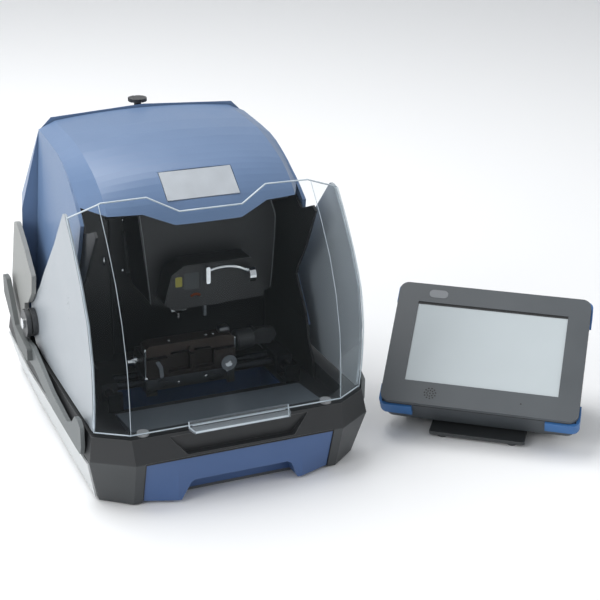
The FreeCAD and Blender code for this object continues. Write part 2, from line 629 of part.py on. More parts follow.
# ---------------------------------------------------------------- console
def console():
    """Wedge-shaped touch console that stands beside the machine, built square and then turned."""
    yaw = Rotation(Vector(0, 0, 1), size("console_yaw"))
    stand = Placement(Vector(size("console_x"), size("console_y"), 0), yaw)
    lean = Rotation(Vector(1, 0, 0), size("console_tilt"))
    desk = Placement(Vector(size("console_x"), size("console_y"), size("console_z")), yaw * lean)

    bezel = slab("bezel", "xy", rectangle("-console_wide/2", "console_wide/2", "-console_high/2",
                                          "console_high/2"), -6, 0, 10)
    pocket(bezel, "xy", rectangle(-83.2, 83.2, -47.7, 51.2), -3, 1)
    ring = [Rotation(Vector(0, 0, 1), 45 * step) * Vector(3.4, 0, 0) for step in range(8)]
    spots = [(round(x - 53, 2), round(y - 61, 2)) for x, y, z in ring] + [(-53, -61), (45, -61)]
    holes = [rod("speaker_hole", 0.8, 5, x, y, -3) for x, y in spots]
    glass = slab("console_screen", "xy", rectangle(-83, 83, -47.5, 51), -3, -1.3)
    rim = slab("console_rim", "xy", rectangle("-console_wide/2+2", "console_wide/2-2", "-console_high/2+2",
                                              "console_high/2-2"), -42, -6.4, 10)
    bumpers = []
    for x, y in ((1, 1), (-1, 1), (-1, -1), (1, -1)):
        corner = slab("bumper", "xy", [
            (x * 72, y * 72.7), (x * 72, y * 76.5), (x * 108.5, y * 76.5), (x * 108.5, y * 52),
            (x * 104.7, y * 52), (x * 104.7, y * 72.7)], -27, -8, 8,
            lambda spot, x=x, y=y: x * spot.x > 106 and y * spot.y > 74)
        bumpers.append(corner)
    case = slab("console_case", "yz", [(-24.7, 15.6), (-24, 8.6), (-20, 6.7), (66, 6.7), (80, 20), (80, 86),
                                       (73, 94.8)], -88, 88, 2)
    plinth = slab("console_plinth", "xy", rectangle(-52, 52, -48, 52), 3, 6.5, 3)
    pads = [rod("console_pad", 5, 3.2, x, y, 0) for x in (-38, 38) for y in (-41, 44)]
    foot = fuse("console_foot", plinth, *pads)
    for part in (glass, rim):
        part.Placement = desk
    for part in (case, foot):
        part.Placement = stand
    pierced = cut("console_bezel", bezel, *holes)
    pierced.Placement = desk
    corners = group("console_bumpers", *bumpers)
    corners.Placement = desk
    nodes(pierced, glass, rim, corners, case, foot)


# ---------------------------------------------------------------- build, check, write
def check():
    """Stop on any failed object or unusable solid."""
    doc.recompute()
    failed = [o.Name for o in doc.Objects if {"Invalid", "Error"} & set(o.State)]
    failed += [p.Label for p in NODES if p.Shape.isNull() or not p.Shape.isValid() or not p.Shape.Solids]
    assert not failed, failed
    labels = [p.Label for p in NODES]
    assert len(set(labels)) == len(labels), sorted(labels)


def write():
    os.makedirs("parts", exist_ok=True)
    for old in os.listdir("parts"):
        os.remove(os.path.join("parts", old))
    for part in NODES:
        part.Shape.exportStep(os.path.join("parts", part.Label + ".step"))
    print(len(NODES), "sub-parts written")


for build in (base_shell, base_plates, rest_pads, side_pieces, rear_pieces, hood, rear_cover, chamber, drives,
              head, tools, stage, clamp, shield, drawer, console):
    build()
check()
write()
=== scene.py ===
import json
import math

import bpy
import numpy as np
from mathutils import Matrix, Vector


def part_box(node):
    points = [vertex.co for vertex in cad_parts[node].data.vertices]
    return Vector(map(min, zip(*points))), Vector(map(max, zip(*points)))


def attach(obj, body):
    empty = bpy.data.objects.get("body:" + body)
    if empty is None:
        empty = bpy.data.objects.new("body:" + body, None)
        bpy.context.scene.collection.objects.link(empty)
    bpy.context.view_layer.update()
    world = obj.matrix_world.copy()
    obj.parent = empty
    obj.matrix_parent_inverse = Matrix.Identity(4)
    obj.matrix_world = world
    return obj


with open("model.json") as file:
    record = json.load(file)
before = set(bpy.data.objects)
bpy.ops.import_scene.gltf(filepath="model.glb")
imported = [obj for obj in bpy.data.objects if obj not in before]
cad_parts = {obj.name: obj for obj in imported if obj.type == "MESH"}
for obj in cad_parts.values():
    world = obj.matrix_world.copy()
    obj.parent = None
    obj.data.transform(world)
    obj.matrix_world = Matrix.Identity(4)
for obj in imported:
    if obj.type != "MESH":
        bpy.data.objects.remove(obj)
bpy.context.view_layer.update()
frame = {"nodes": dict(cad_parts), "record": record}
NODES = frame["nodes"]
MM = 0.001
POLE = 0.01  # radius in millimetres at which a turned shape is closed on its axis


# ------------------------------------------------------------------ shader maths
class Sum:
    """A shader value: wraps a socket so that expressions on it add Math nodes."""

    def __init__(self, tree, socket):
        self.tree = tree
        self.socket = socket

    def _with(self, operation, other, swap=False):
        node = self.tree.nodes.new("ShaderNodeMath")
        node.operation = operation
        first, second = (other, self) if swap else (self, other)
        for slot, value in zip(node.inputs, (first, second)):
            if isinstance(value, Sum):
                self.tree.links.new(value.socket, slot)
            else:
                slot.default_value = value
        return Sum(self.tree, node.outputs[0])

    def __add__(self, other):
        return self._with("ADD", other)

    def __radd__(self, other):
        return self._with("ADD", other)

    def __sub__(self, other):
        return self._with("SUBTRACT", other)

    def __rsub__(self, other):
        return self._with("SUBTRACT", other, swap=True)

    def __mul__(self, other):
        return self._with("MULTIPLY", other)

    def __rmul__(self, other):
        return self._with("MULTIPLY", other)

    def __gt__(self, other):
        return self._with("GREATER_THAN", other)

    def least(self, other):
        return self._with("MINIMUM", other)

    def most(self, other):
        return self._with("MAXIMUM", other)

    def clamped(self):
        return self.least(1.0).most(0.0)


class Finish:
    """One procedural material: its node tree, its Principled shader and its makers of nodes."""

    def __init__(self, name):
        self.material = bpy.data.materials.new(name)
        self.material.use_nodes = True
        self.tree = self.material.node_tree
        self.tree.nodes.clear()
        self.output = self.tree.nodes.new("ShaderNodeOutputMaterial")
        self.shader = self.tree.nodes.new("ShaderNodeBsdfPrincipled")
        self.tree.links.new(self.shader.outputs[0], self.output.inputs["Surface"])

    def node(self, kind, settings=None, **sockets):
        """New node: settings first, then the values or links of its input sockets, by name or as i0, i1, i2."""
        made = self.tree.nodes.new(kind)
        for key, value in (settings or {}).items():
            setattr(made, key, value)
        for key, value in sockets.items():
            numbered = key[0] == "i" and key[1:].isdigit()
            self.feed(made.inputs[int(key[1:]) if numbered else key.replace("_", " ")], value)
        return made

    def feed(self, slot, value):
        """Link a socket to a value's output, or set the value on the socket itself."""
        if isinstance(value, Sum):
            self.tree.links.new(value.socket, slot)
        elif isinstance(value, bpy.types.NodeSocket):
            self.tree.links.new(value, slot)
        else:
            slot.default_value = value

    def place(self):
        """Object coordinates, in metres."""
        return self.node("ShaderNodeTexCoord").outputs["Object"]

    def axes(self):
        """The x, y and z of the Object coordinates as shader values."""
        parts = self.node("ShaderNodeSeparateXYZ", i0=self.place())
        return [Sum(self.tree, output) for output in parts.outputs]

    def noise(self, size, detail=3.0, rough=0.5, stretch=(1, 1, 1)):
        """Soft random value from 0 to 1 with features of a given size in metres."""
        spread = self.node("ShaderNodeMapping", i0=self.place(), Scale=tuple(s / size for s in stretch))
        cloud = self.node("ShaderNodeTexNoise", Vector=spread.outputs[0], Scale=1.0, Detail=detail, Roughness=rough)
        return Sum(self.tree, cloud.outputs["Fac"])

    def cells(self, size):
        """Distance to the nearest of scattered points, for a pebbled grain."""
        spread = self.node("ShaderNodeMapping", i0=self.place(), Scale=(1 / size,) * 3)
        found = self.node("ShaderNodeTexVoronoi", Vector=spread.outputs[0], Scale=1.0)
        return Sum(self.tree, found.outputs["Distance"])

    def wear(self, width):
        """1 on outward edges, 0 on flats, from how convex the mesh is there."""
        bevel = self.node("ShaderNodeBevel", {"samples": 4}, Radius=width)
        geometry = self.node("ShaderNodeNewGeometry")
        turned = self.node("ShaderNodeVectorMath", {"operation": "DOT_PRODUCT"}, i0=bevel.outputs[0],
                           i1=geometry.outputs["Normal"])
        return (1 - Sum(self.tree, turned.outputs["Value"])) * 3.0

    def blend(self, factor, first, second):
        """Colour between two colours."""
        mixed = self.node("ShaderNodeMix", {"data_type": "RGBA"})
        self.feed(mixed.inputs[0], factor)
        self.feed(mixed.inputs[6], first)
        self.feed(mixed.inputs[7], second)
        return mixed.outputs[2]

    def relief(self, height, depth):
        """Bump of a given depth in metres on the shader's normal."""
        bump = self.node("ShaderNodeBump", Strength=1.0, Distance=depth, Height=height)
        self.feed(self.shader.inputs["Normal"], bump.outputs[0])

    def set(self, **values):
        """Feed the shader's sockets by name."""
        for key, value in values.items():
            self.feed(self.shader.inputs[key.replace("_", " ")], value)


def srgb(r, g, b):
    """Scene-linear colour with alpha from an 8 bit display colour."""
    def one(c):
        c = c / 255
        return c / 12.92 if c <= 0.04045 else ((c + 0.055) / 1.055) ** 2.4
    return (one(r), one(g), one(b), 1.0)


def mix(a, b, t):
    """Colour a share t of the way from a to b."""
    return tuple(x + (y - x) * t for x, y in zip(a, b))


# ------------------------------------------------------------------ finishes
WHITE = (1, 1, 1, 1)
BLACK = (0, 0, 0, 1)


def moulded(name, colour, rough=0.45, grain=0.0006, depth=0.000012, mottle=0.08, wear=0.25):
    """Moulded plastic: pebbled grain, faint mottling, paler handled edges, uneven gloss."""
    skin = Finish(name)
    cloud = skin.noise(0.045, 4.0)
    speck = skin.noise(grain * 3, 2.0)
    base = skin.blend((cloud - 0.3) * 1.6, mix(colour, BLACK, mottle), mix(colour, WHITE, mottle * 0.12))
    if wear:
        base = skin.blend((skin.wear(0.0009) * wear).clamped(), base, mix(colour, WHITE, 0.10))
    skin.relief(skin.cells(grain) * 0.7 + speck * 0.5, depth)
    skin.set(Base_Color=base, Roughness=rough + (cloud - 0.5) * 0.16 + (speck - 0.5) * 0.1)
    return skin.material


def painted_shade_above(name, lower, upper, height, rough=0.5):
    """Grained plastic with one colour below a height in metres and a darker one above it; the darker colour above
    is painted shade, where light falls off past a crease.
    """
    skin = Finish(name)
    cloud = skin.noise(0.05, 4.0)
    speck = skin.noise(0.0018, 2.0)
    # Painted shade: the colour turns darker above the height, past the crease.
    above = ((skin.axes()[2] - height) * 900).clamped()
    shaded_tone = skin.blend(above, lower, upper)
    worn_and_shaded = skin.blend((skin.wear(0.0011) * 0.3).clamped(), shaded_tone, mix(lower, WHITE, 0.16))
    base = skin.blend((cloud - 0.35).clamped() * 0.5, worn_and_shaded, mix(upper, BLACK, 0.35))
    skin.relief(skin.cells(0.0007) * 0.7 + speck * 0.5, 0.000014)
    skin.set(Base_Color=base, Roughness=rough + (cloud - 0.5) * 0.18 + (speck - 0.5) * 0.1)
    return skin.material


def machined(name, colour, rough=0.28, stretch=(1, 1, 1), depth=0.000006, metallic=1.0):
    """Ground or turned metal: fine tool marks along one direction and a little tarnish."""
    skin = Finish(name)
    marks = skin.noise(0.0006, 3.0, 0.6, stretch)
    cloud = skin.noise(0.02, 3.0)
    base = skin.blend(cloud, mix(colour, BLACK, 0.22), colour)
    skin.relief(marks, depth)
    skin.set(Base_Color=base, Metallic=metallic, Roughness=rough + (marks - 0.5) * 0.2 + (cloud - 0.5) * 0.12)
    return skin.material


def clear_pane(name="clear polycarbonate", haze=0.012, glaze=0.3, tint=(0.3, 0.34, 0.36, 1)):
    """Clear sheet: mostly see-through, mirror-like at a slant, with faint haze and fine scratches."""
    skin = Finish(name)
    cloud = skin.noise(0.05, 5.0)
    scratch = skin.noise(0.0012, 2.0, 0.5, (1, 0.08, 1))
    glance = Sum(skin.tree, skin.node("ShaderNodeLayerWeight", Blend=0.22).outputs["Fresnel"])
    skin.set(Base_Color=tint, Roughness=0.03 + cloud * 0.05, IOR=1.58)
    clear = skin.node("ShaderNodeBsdfTransparent", Color=(0.975, 0.985, 0.99, 1))
    factor = (glance * glaze + haze * (cloud + 0.4) + (scratch > 0.74) * 0.01).clamped()
    both = skin.node("ShaderNodeMixShader", Fac=factor, i1=clear.outputs[0], i2=skin.shader.outputs[0])
    skin.tree.links.new(both.outputs[0], skin.output.inputs["Surface"])
    return skin.material


def painted_highlight_edge(name="sheet edge painted highlight"):
    """Cut edge of a clear sheet, painted pale with a faint glow: a painted highlight for the light the edge gathers
    from the sheet's faces.
    """
    skin = Finish(name)
    cloud = skin.noise(0.02, 3.0)
    # Pale colour of the edge: painted highlight.
    base = skin.blend(cloud, srgb(150, 164, 174), srgb(214, 222, 228))
    skin.set(Base_Color=base, Roughness=0.12 + cloud * 0.12, Emission_Color=base)
    # Faint glow of the edge, which is no lamp: painted highlight.
    skin.shader.inputs["Emission Strength"].default_value = 0.06
    return skin.material


BLUE = srgb(96, 120, 154)
FINISHES = {
    "blue_shell": lambda: moulded("blue shell", BLUE, 0.38, 0.0006, 0.000008, 0.06, 0.3),
    "blue_drawer": lambda: moulded("blue drawer", srgb(64, 92, 138), 0.4, 0.0006, 0.00001),
    # Black housing: darker above 51.2 mm as painted shade past the crease of its side.
    "black_housing": lambda: painted_shade_above("black housing", srgb(58, 61, 63), srgb(36, 38, 40), 0.0512),
    "dark_grey": lambda: moulded("dark grey plastic", srgb(88, 91, 94), 0.5, 0.0007, 0.00002),
    "light_grey": lambda: moulded("light grey skirt", srgb(196, 199, 200), 0.5),
    # Chamber floor near black, darker than the grey of the front strip: painted shadow of the hood and shield.
    "grey_floor": lambda: moulded("chamber floor painted shadow", srgb(18, 20, 23), 0.45),
    "clear_pane": clear_pane,
    "frosted_pane": lambda: moulded("frosted cheek", srgb(150, 157, 163), 0.32, 0.0004, 0.000006, 0.05, 0.6),
    "black_liner": lambda: moulded("chamber lining", srgb(12, 13, 15), 0.42, 0.0007, 0.00001),
    "silver_plate": lambda: machined("name plate", srgb(196, 202, 208), 0.42, (0.05, 1, 1), 0.000008, 0.55),
    "steel": lambda: machined("ground steel", srgb(128, 132, 136), 0.3, (0.06, 1, 1)),
    "chrome": lambda: machined("chrome", srgb(225, 228, 230), 0.12, (1, 1, 1), 0.000002),
    "jaw_bronze": lambda: machined("blackened jaw", srgb(52, 44, 40), 0.42, (0.05, 1, 1), 0.00001, 0.7),
    "black_knob": lambda: moulded("black knob", srgb(32, 33, 35), 0.4, 0.0005, 0.00002),
    "cast_alloy": lambda: machined("cast alloy", srgb(70, 72, 75), 0.5, (1, 1, 1), 0.00003),
    "rubber": lambda: moulded("rubber", srgb(40, 40, 41), 0.8, 0.0005, 0.00003),
    "pad_rubber": lambda: moulded("rest pad", srgb(150, 152, 154), 0.7, 0.0005, 0.00003),
    "motor_black": lambda: moulded("motor enamel", srgb(36, 36, 38), 0.35, 0.001, 0.00002),
    "board_green": lambda: moulded("board lacquer", srgb(24, 96, 54), 0.3, 0.002, 0.00003),
    "lamp_white": lambda: moulded("lamp diffuser", srgb(225, 225, 220), 0.4, 0.001, 0.00001),
    "console_grey": lambda: moulded("console grey", srgb(74, 79, 83), 0.45, 0.0005, 0.00002),
    "screen": lambda: moulded("screen", srgb(184, 192, 195), 0.1, 0.0005, 0.000001, 0.03, 0),
    "bumper_blue": lambda: moulded("bumper rubber", srgb(52, 108, 168), 0.5, 0.0006, 0.00002),
    "carbide": lambda: machined("carbide", srgb(150, 150, 152), 0.25),
}
# Pieces whose finish differs from the plain one of their slot.
OWN = {
    # The front strip keeps the floor's own grey; the floor behind it is near black as painted shadow.
    "front_apron": lambda: moulded("front floor strip", srgb(92, 100, 108), 0.4),
    "uprights": lambda: moulded("side upright grey", srgb(140, 142, 140), 0.5, 0.0007, 0.00002),
    "grips": lambda: moulded("carrying grip", srgb(92, 96, 96), 0.55, 0.0007, 0.00002),
    "rails": lambda: moulded("side rail", srgb(98, 103, 104), 0.5, 0.0007, 0.00002),
    "x_rails": lambda: machined("blackened rod", srgb(44, 46, 50), 0.3),
    "y_rails": lambda: machined("blackened rail", srgb(40, 42, 46), 0.3),
    "pivot_knob_left": lambda: moulded("pivot knob grey", srgb(58, 60, 62), 0.38, 0.0005, 0.00002),
    "shield_handle": lambda: clear_pane("clear lip", 0.14, 0.45, (0.4, 0.44, 0.47, 1)),
    "upper_jaw": lambda: machined("upper jaw", srgb(70, 59, 53), 0.38, (0.05, 1, 1), 0.00001, 0.7),
}
OWN["pivot_knob_right"] = OWN["pivot_knob_left"]


def dress_frame():
    """Give every carried-over CAD node its own finish or that of its slot."""
    made = {}
    for entry in frame["record"]["subparts"]:
        maker = OWN.get(entry["node"], FINISHES[entry["material_slot"]])
        if maker not in made:
            made[maker] = maker()
        mesh = NODES[entry["node"]].data
        mesh.materials.clear()
        mesh.materials.append(made[maker])


# ------------------------------------------------------------------ making pieces
ACROSS, DEPTH, UP = (1, 0, 0), (0, 1, 0), (0, 0, 1)
FORWARD, BACKWARD = (0, -1, 0), (0, 1, 0)


def piece(name, points, faces, body, slot, material, smooth=True):
    """Mesh object from points in millimetres and faces, riding on a body and finished with the given material; the
    slot is not used.
    """
    mesh = bpy.data.meshes.new(name)
    mesh.from_pydata((np.asarray(points, float) * MM).tolist(), [], faces)
    mesh.polygons.foreach_set("use_smooth", [smooth] * len(mesh.polygons))
    mesh.materials.append(material)
    made = bpy.data.objects.new(name, mesh)
    bpy.context.scene.collection.objects.link(made)
    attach(made, body)


def ring_faces(rows, columns):
    """Quads of a grid of points, row by row, round a ring: the last column joins the first."""
    down, across = np.meshgrid(np.arange(rows - 1), np.arange(columns), indexing="ij")
    beside = (across + 1) % columns
    quads = np.stack([down * columns + across, down * columns + beside, (down + 1) * columns + beside,
                      (down + 1) * columns + across], -1)
    return [tuple(quad) for quad in quads.reshape(-1, 4).tolist()]


def tube(path, radius, sides=10, flat=1.0, across=(0, 0, 1)):
    """Points and faces of a round bar along a path.

    Point (i, a) = path(i) + radius * (cos a * right(i) + flat * sin a * up(i)), where right and up are
    square to the path's direction. The ends are closed by discs.
    """
    path = np.asarray(path, float)
    run = np.gradient(path, axis=0)
    run /= np.linalg.norm(run, axis=1)[:, None]
    right = np.cross(run, np.asarray(across, float))
    right /= np.linalg.norm(right, axis=1)[:, None]
    up = np.cross(right, run)
    angle = np.linspace(0, 2 * math.pi, sides, endpoint=False)
    ring = right[:, None] * np.cos(angle)[None, :, None] + flat * up[:, None] * np.sin(angle)[None, :, None]
    points = path[:, None] + radius * ring
    faces = [quad[::-1] for quad in ring_faces(len(path), sides)]
    faces.append(tuple(range(sides)))
    faces.append(tuple(range((len(path) - 1) * sides, len(path) * sides))[::-1])
    return points.reshape(-1, 3), faces


def turned(profile, origin, axis, sides=40):
    """Points and faces of a turned shape: (radius, distance along the axis) carried round it.

    Point (i, a) = origin + axis * distance(i) + radius(i) * (cos a * u + sin a * v). The profile starts
    and ends on the axis or is closed by discs.
    """
    profile = np.asarray(profile, float)
    axis = Vector(axis).normalized()
    side = Vector((0, 0, 1)) if abs(axis.z) < 0.9 else Vector((1, 0, 0))
    u = np.array(axis.cross(side).normalized())
    v = np.array(axis.cross(Vector(u)).normalized())
    angle = np.linspace(0, 2 * math.pi, sides, endpoint=False)
    spread = np.cos(angle)[:, None] * u + np.sin(angle)[:, None] * v
    centre = np.asarray(origin, float) + profile[:, 1:2] * np.array(axis)
    points = centre[:, None] + profile[:, 0][:, None, None] * spread[None]
    faces = ring_faces(len(profile), sides)
    faces.append(tuple(range(sides))[::-1])
    faces.append(tuple(range((len(profile) - 1) * sides, len(profile) * sides)))
    return points.reshape(-1, 3), faces


def slab(corners, thick, normal, bevel):
    """Points and faces of a flat plate whose rim is bevelled.

    Rings: the outline at the back, the outline again below the bevel, and the outline drawn in by the
    bevel at the front.
    """
    corners = np.asarray(corners, float)
    normal = np.asarray(normal, float) / np.linalg.norm(normal)
    centre = corners.mean(axis=0)
    inward = corners + (centre - corners) * (bevel / np.linalg.norm(corners - centre, axis=1))[:, None]
    rings = np.stack([corners, corners + normal * (thick - bevel), inward + normal * thick])
    count = len(corners)
    faces = ring_faces(3, count)
    faces.append(tuple(range(count))[::-1])
    faces.append(tuple(range(2 * count, 3 * count)))
    return rings.reshape(-1, 3), faces


def rounded(width, height, radius, steps=5):
    """Corner-rounded rectangle (u, v) round its centre, anticlockwise.

    Point (q, a) = corner centre q + radius * (cos, sin) of the angle a on from a quarter turn times q.
    """
    quarter = np.arange(4)[:, None] * math.pi / 2
    angle = quarter + np.linspace(0, math.pi / 2, steps)
    signs = np.array([[1, 1], [-1, 1], [-1, -1], [1, -1]])
    centres = signs * [width / 2 - radius, height / 2 - radius]
    arcs = radius * np.stack([np.cos(angle), np.sin(angle)], -1)
    return (centres[:, None] + arcs).reshape(-1, 2)


def along(path, count):
    """Evenly numbered points on the straight runs between a path's corners."""
    path = np.asarray(path, float)
    t = np.linspace(0, len(path) - 1, count)
    return np.stack([np.interp(t, np.arange(len(path)), axis) for axis in path.T], -1)


def joined(*shapes):
    """Several shapes' points and faces as one."""
    points, faces, start = [], [], 0
    for some, own in shapes:
        points.append(some)
        faces += [tuple(index + start for index in face) for face in own]
        start += len(some)
    return np.concatenate(points), faces


# ------------------------------------------------------------------ shield
# Heights up the pane, with the depth of its outer face in the middle and at its outer edges.
HEIGHTS = np.array([79.5, 110, 150, 190, 224, 258, 292])
FRONT = np.array([-202, -201, -196.5, -184.5, -168, -144, -115])
SIDE = np.array([-181, -186, -187, -178, -159, -134, -102])
PANE_HALF, CHEEK = 112.0, 143.6  # half widths at the creases and at the outer edges


def pane_surface(x, z):
    """Outer face of the pane: y over x and z, flat between the creases and slanting back beyond them."""
    front = np.interp(z, HEIGHTS, FRONT)
    side = np.interp(z, HEIGHTS, SIDE)
    t = np.clip((np.abs(x) - PANE_HALF) / (CHEEK - PANE_HALF), 0, 1)
    return front + (side - front) * t


def pane_path(corners, inward, steps):
    """Path a little inside the pane's outer face through corners (x, z), with steps to each straight run."""
    x, z = along(corners, (len(corners) - 1) * steps + 1).T
    return np.stack([x, pane_surface(x, z) + inward, z], -1)


def pane_rise(x, plane, lowest, highest, count, inward):
    """Path up the pane at one x, following the pane's outer face where its half width is plane."""
    z = np.linspace(lowest, highest, count)
    return np.stack([np.full(count, x), pane_surface(plane, z) + inward, z], -1)


def shield_edges(edge):
    """Cut edges of the clear pane, its creases and its lip, as pale glowing strips: painted highlights."""
    rim = np.array([[0, 276.6], [33, 276.6], [63, 290.6], [109.5, 290.1], [125, 284.6], [143.0, 278.3]])
    top = pane_path(np.concatenate([rim[:0:-1] * [-1, 1], rim]), 1.6, 3)
    foot = pane_path([(-143, 80.1), (-PANE_HALF, 80.1), (PANE_HALF, 80.1), (143, 80.1)], 1.5, 6)
    strips = [tube(top, 0.8, 8, 1.5, DEPTH), tube(foot, 0.6, 8, 1.4, DEPTH)]
    for side in (-1, 1):
        crease = pane_rise(side * PANE_HALF, PANE_HALF, 80, 290, 30, 0.5)
        seam = pane_rise(side * (CHEEK - 0.6), CHEEK, 80, 278, 28, 0.6)
        strips += [tube(crease, 0.35, 6, 1.0, DEPTH), tube(seam, 0.6, 6, 1.0, DEPTH)]
    piece("pane_edges", *joined(*strips), "shield", "clear_pane", edge)

    front = along([(-50, -214.2, 78.3), (48.8, -214.2, 78.3)], 12)
    ridge = front * [1, 0, 1] + [0, -204.9, 3.2]
    bars = [tube(front, 1.1, 8), tube(ridge, 0.45, 8)]
    for x_back, x_front in ((-53.4, -50.2), (52.4, 49.0)):
        end = [(x_back, -203.8, 85.6), (x_back, -204.6, 81.6), (x_back, -205.6, 80.2), (x_front, -213.8, 78.6)]
        bars.append(tube(end, 0.7, 8, 1.0, ACROSS))
    piece("lip_edges", *joined(*bars), "shield", "clear_pane", edge)


def cheek_edges(edge):
    """Rim round each frosted cheek, as a pale glowing strip: painted highlight."""
    outline = np.array([[-177, 80.2], [-181.3, 110], [-182.2, 150], [-173.3, 190], [-154.5, 223.6], [-129.6, 257],
                        [-108.8, 278.9], [-102.3, 278.9], [-59.5, 232.4], [-10.6, 185.3], [13.4, 160.4],
                        [39.4, 140.4], [55.3, 129.6], [62.3, 112], [59.3, 94.4], [45.7, 83.6], [20, 80.2]])
    y, z = along(np.concatenate([outline, outline[:1]]), len(outline) * 4 + 1).T
    middle = 142.1  # half way through the cheek's thickness
    bars = [tube(np.stack([np.full(len(y), side * middle), y, z], -1), 0.75, 6, 2.0, ACROSS) for side in (-1, 1)]
    piece("cheek_edges", *joined(*bars), "shield", "frosted_pane", edge)


# ------------------------------------------------------------------ work chamber
NOSE_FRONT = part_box("nose_cover")[0][1] / MM
JAW_FRONT, JAW_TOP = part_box("upper_jaw")[0][1] / MM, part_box("upper_jaw")[1][2] / MM
CATCH_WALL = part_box("duct_cover")[0][1] / MM - 0.1


def dome(radius, rise):
    """Profile of a low domed screw head, from its rim up to its crown."""
    r = np.linspace(1, 0, 7)[:-1]
    crown = [(radius * share, rise * math.sqrt(1 - 0.8 * share * share)) for share in r]
    return [(radius, 0)] + crown + [(POLE, rise)]


def screw(at, normal, radius, rise=1.4):
    """Domed screw head on a surface."""
    return turned(dome(radius, rise), at, normal, 18)


def label(x0, x1, z0, z1, corner):
    """Thin round-cornered blank plate on the front of the nose."""
    u, v = rounded(x1 - x0, z1 - z0, corner).T
    outline = np.stack([u + (x0 + x1) / 2, np.full(len(u), NOSE_FRONT - 0.02), v + (z0 + z1) / 2], -1)
    return slab(outline, 0.35, FORWARD, 0.15)


def chamber_details(chrome, grey, copper, amber, slate):
    """Screws, catch and channel on the back wall, pale lines along the head cover's edges as painted highlights,
    blank labels and clip.
    """
    upper = screw((-47.8, CATCH_WALL, 223), FORWARD, 1.6)
    lower = screw((-49.4, CATCH_WALL, 165.2), FORWARD, 2.0, 1.2)
    button, faces = turned([(POLE, 0), (2.0, 0), (2.2, 0.8), (1.6, 1.8), (POLE, 2.0)], (0, 0, 0), FORWARD, 24)
    catch = (button * [1, 1, 2.6] + [-70.4, CATCH_WALL, 178.8], faces)
    piece("wall_screws", *joined(upper, lower, catch), "base", "chrome", chrome)
    channel = along([(-43.1, 32.6, 205), (-39.9, 32.6, 156)], 8)
    piece("wall_channel", *tube(channel, 2.2, 10, 0.6, DEPTH), "base", "black_liner", slate)

    # Pale glossy lines along the head cover's left and right edges: painted highlights where light catches them.
    right = [(97.5, 262), (104.8, 240), (109.4, 226), (108.6, 205), (107.2, 182), (105.2, 155), (103.6, 142)]
    left = [(-46.8, 258), (-44.2, 240), (-41.4, 216), (-38.6, 185), (-36.2, 160), (-34.8, 142)]
    lines = []
    for corners in (right, left):
        x, z = along(corners, 24).T
        lines.append(tube(np.stack([x, np.full(len(x), -30.9), z], -1), 0.55, 8, 1.0, DEPTH))
    piece("cover_edge_highlights", *joined(*lines), "base", "black_liner", grey)

    piece("label_amber", *label(-17, -9.5, 170, 181, 1.2), "head", "silver_plate", amber, False)
    piece("label_slate", *label(-7, 9, 166, 184, 1.0), "head", "black_liner", slate, False)
    bow = np.linspace(-4, 4, 8)
    clip = np.stack([np.linspace(0, 10.5, 8), np.full(8, NOSE_FRONT - 0.2), 159.6 - 0.12 * bow ** 2], -1)
    piece("spring_clip", *tube(clip, 1.5, 10, 0.5, DEPTH), "head", "jaw_bronze", copper)


def knurl(centre, x0, x1):
    """Points and faces of a knurled sleeve whose axis is across the machine.

    Point (x, a) = x along the axis, with radius 10.3 + 0.9 e + 0.55 e |sin(16 a + 0.9 x) sin(16 a - 0.9 x)|
    at the angle a, where e falls from 1 to 0 over the last 1.5 of either end.
    """
    rows, columns = 40, 96
    a, x = np.meshgrid(np.linspace(0, 2 * math.pi, columns, endpoint=False), np.linspace(x0, x1, rows))
    ridge = np.abs(np.sin(a * 16 + x * 0.9)) * np.abs(np.sin(a * 16 - x * 0.9))
    ends = np.clip(np.minimum(x - x0, x1 - x) / 1.5, 0, 1)
    radius = 10.3 + 0.9 * ends + 0.55 * ridge * ends
    points = np.stack([x, centre[0] + radius * np.cos(a), centre[1] + radius * np.sin(a)], -1)
    faces = ring_faces(rows, columns)
    faces += [tuple(range(columns))[::-1], tuple(range((rows - 1) * columns, rows * columns))]
    return points.reshape(-1, 3), faces


def clamp_details(chrome, steel, dark):
    """Bright bar, screws, guide block and knurled sleeve of the key clamp."""
    bar = tube(along([(-59.2, -83.6, 82.5), (-59.2, -83.6, 114.5)], 12), 1.1, 10, 1.0, DEPTH)
    heads = [turned(dome(2.4, 3.0), (-59.2, -84.6, 81.2), FORWARD, 18),
             turned(dome(2.0, 2.4), (31.5, -86.0, 76.5), FORWARD, 18),
             screw((8.8, JAW_FRONT, 72), FORWARD, 1.7, 1.0),
             screw((-22, JAW_FRONT, 70), FORWARD, 1.4, 0.8)]
    piece("clamp_bright", *joined(bar, *heads), "clamp", "chrome", chrome)
    pillar = along([(42.6, -80, 99), (42.6, -80, 112)], 8)
    piece("clamp_pillar", *tube(pillar, 1.2, 10, 1.0, DEPTH), "clamp", "chrome", chrome)
    u, v = rounded(12, 12, 2.5).T
    block = np.stack([u + 33, v - 70, np.full(len(u), JAW_TOP)], -1)
    piece("jaw_block", *slab(block, 6, UP, 1.2), "jaw", "steel", steel)
    caps = [turned(dome(1.6, 1.2), (x, -74, JAW_TOP), UP, 16) for x in (12, 20, -30)]
    piece("jaw_screws", *joined(*caps), "jaw", "chrome", chrome)
    piece("knurled_sleeve", *knurl((-60, 98), 50.2, 69.8), "handle", "black_knob", dark)


def inlet_pins(metal):
    """Three blades inside the mains socket."""
    blade = np.array([(-1, 160, 2.2), (1, 160, 2.2), (1, 160, -2.2), (-1, 160, -2.2)])
    pins = [slab(blade + [x, 0, z], 12, BACKWARD, 0.5) for x, z in ((-90, 105), (-96, 99), (-84, 99))]
    piece("inlet_blades", *joined(*pins), "base", "steel", metal, False)


